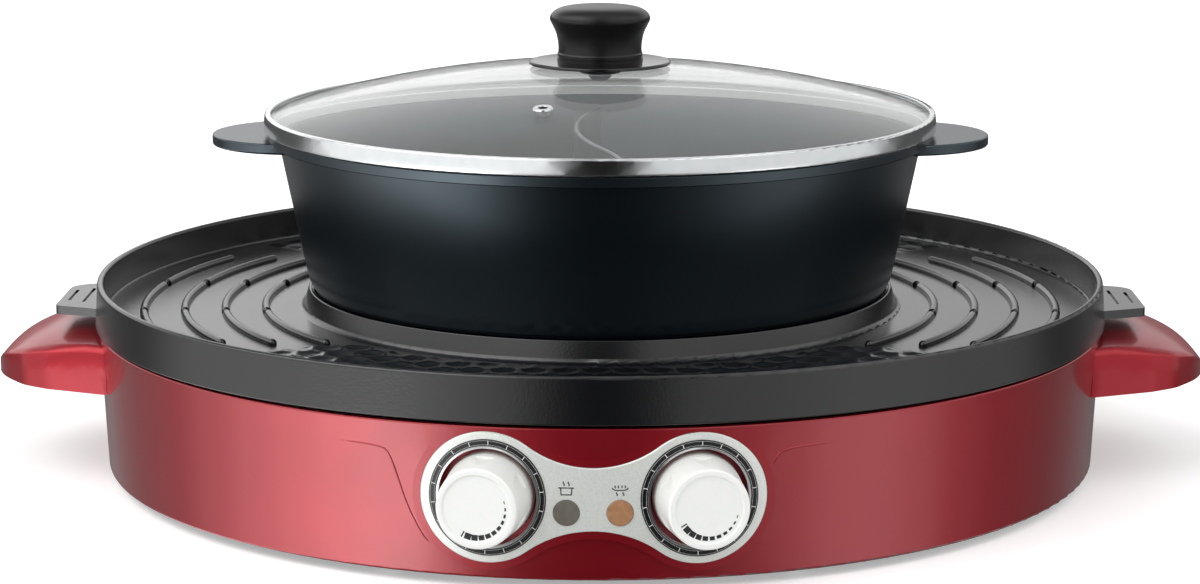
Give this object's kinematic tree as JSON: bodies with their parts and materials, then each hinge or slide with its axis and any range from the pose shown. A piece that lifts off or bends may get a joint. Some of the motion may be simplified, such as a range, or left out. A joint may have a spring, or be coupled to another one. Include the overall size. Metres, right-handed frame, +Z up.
{
  "type": "electric hot pot with lid",
  "caption": "Round electric table cooker: ridged grill plate with a divided pot standing in its collar, glass lid, wing handles, and a front panel with two heat knobs.",
  "frame": {"origin": "on the table plane under the cooker's axis, at the middle of its outline", "axes": "+X to the cooker's right-hand handle as seen from the front, +Z up; the control panel faces -Y"},
  "size_m": [0.5206, 0.4609, 0.196],
  "materials": {
    "red_plastic": "metallic red moulded plastic, clear-coated",
    "black_plastic": "fine-grained black moulded plastic",
    "silver_plastic": "silver-painted plastic, satin",
    "dial_black": "black ring with fine white divisions",
    "chrome": "bright plated trim",
    "lens_grey": "smoke-grey lamp lens",
    "lens_amber": "amber lamp lens",
    "knob_white": "pearl white-silver painted plastic",
    "steel": "zinc-plated or stainless steel",
    "lamp_glass": "small neon lamp",
    "phenolic": "moulded phenolic",
    "ceramic": "glazed ceramic",
    "brass": "nickel-plated brass",
    "rubber": "black rubber",
    "silicone": "grey silicone rubber",
    "pan_sheet": "bright pressed aluminium sheet",
    "heater_sheath": "heat-darkened steel sheath",
    "cast_plate": "cast aluminium, ground top",
    "nonstick": "cast aluminium with black non-stick coating",
    "lid_steel": "polished stainless steel",
    "lid_glass": "clear tempered glass",
    "bakelite": "polished black bakelite"
  },
  "bodies": {
    "base": {"base_shell": "red_plastic", "bottom_cover": "black_plastic", "rubber_feet": "rubber", "cover_screws": "steel", "wing_handle_left": "red_plastic", "wing_handle_right": "red_plastic", "wing_screws": "steel", "control_panel": "silver_plastic", "dial_ring_hotpot": "dial_black", "dial_ring_grill": "dial_black", "dial_trim_hotpot": "chrome", "dial_trim_grill": "chrome", "lamp_lens_hotpot": "lens_grey", "lamp_lens_grill": "lens_amber", "thermostat_hotpot": "phenolic", "thermostat_grill": "phenolic", "neon_lamps": "lamp_glass", "thermostat_nuts": "steel", "inlet_socket": "black_plastic", "inlet_pins": "brass", "inlet_screws": "steel", "terminal_block": "ceramic", "reflector_pan": "pan_sheet", "pan_screws": "steel", "grill_element": "heater_sheath", "element_cradles": "steel", "hotplate": "cast_plate", "hotplate_screws": "steel", "heater_terminals": "steel"},
    "grill_plate": {"grill_plate": "nonstick"},
    "pot": {"pot": "nonstick"},
    "lid": {"lid_band": "lid_steel", "lid_gasket": "silicone", "lid_glass": "lid_glass", "vent_eyelet": "lid_steel", "knob_disc": "bakelite", "lid_knob": "bakelite", "lid_washer": "silicone", "lid_screw": "steel"},
    "hotpot_knob": {"knob_hotpot": "knob_white", "shaft_hotpot": "steel"},
    "grill_knob": {"knob_grill": "knob_white", "shaft_grill": "steel"}
  },
  "joints": [
    {"name": "grill_lift", "type": "slide", "parent": "base", "child": "grill_plate", "axis": [0, 0, 1], "range_m": [0, 0.08]},
    {"name": "pot_lift", "type": "slide", "parent": "grill_plate", "child": "pot", "axis": [0, 0, 1], "range_m": [0, 0.15]},
    {"name": "lid_lift", "type": "slide", "parent": "pot", "child": "lid", "axis": [0, 0, 1], "range_m": [0, 0.1]},
    {"name": "hotpot_knob_turn", "type": "hinge", "parent": "base", "child": "hotpot_knob", "pos_m": [-0.0395, -0.21154, 0.0355], "axis": [0.1836, 0.983, 0], "range_deg": [0, 270]},
    {"name": "grill_knob_turn", "type": "hinge", "parent": "base", "child": "grill_knob", "pos_m": [0.0395, -0.21154, 0.0355], "axis": [-0.1836, 0.983, 0], "range_deg": [-18, 252]}
  ]
}
